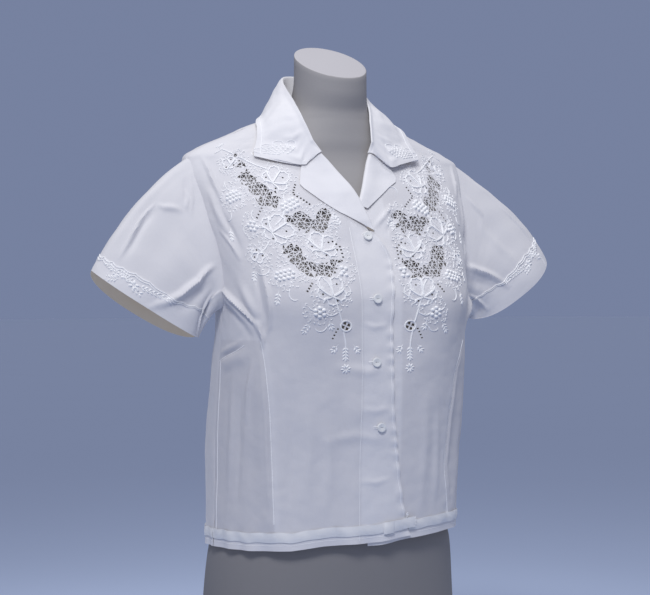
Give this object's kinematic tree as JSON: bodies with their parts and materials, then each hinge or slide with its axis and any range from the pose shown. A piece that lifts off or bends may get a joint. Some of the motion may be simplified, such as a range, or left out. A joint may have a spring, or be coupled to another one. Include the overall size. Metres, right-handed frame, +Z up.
{
  "type": "blouse on dress form",
  "caption": "Short-sleeved white blouse with notched collar, buttoned cutwork fronts and a tape above the hem, worn on a limbless dress form.",
  "frame": {"origin": "centre of the dress form's flat base, where it stands", "axes": "+Z up, the front faces -Y, the wearer's right is -X"},
  "size_m": [0.625, 0.2537, 0.7875],
  "materials": {
    "form_grey": "matt",
    "linen_white": "plain woven linen",
    "tape_white": "woven tape",
    "button_pearl": "pearl"
  },
  "bodies": {
    "root": {"dress_form": "form_grey", "back": "linen_white", "collar": "linen_white", "front_left": "linen_white", "front_right": "linen_white", "lapel_left": "linen_white", "lapel_right": "linen_white", "sleeve_left": "linen_white", "sleeve_right": "linen_white", "tape_back": "tape_white", "tape_end": "tape_white", "tape_left": "tape_white", "tape_right": "tape_white", "tape_tab": "tape_white", "button_1": "button_pearl", "button_2": "button_pearl", "button_3": "button_pearl", "button_4": "button_pearl"}
  },
  "joints": []
}
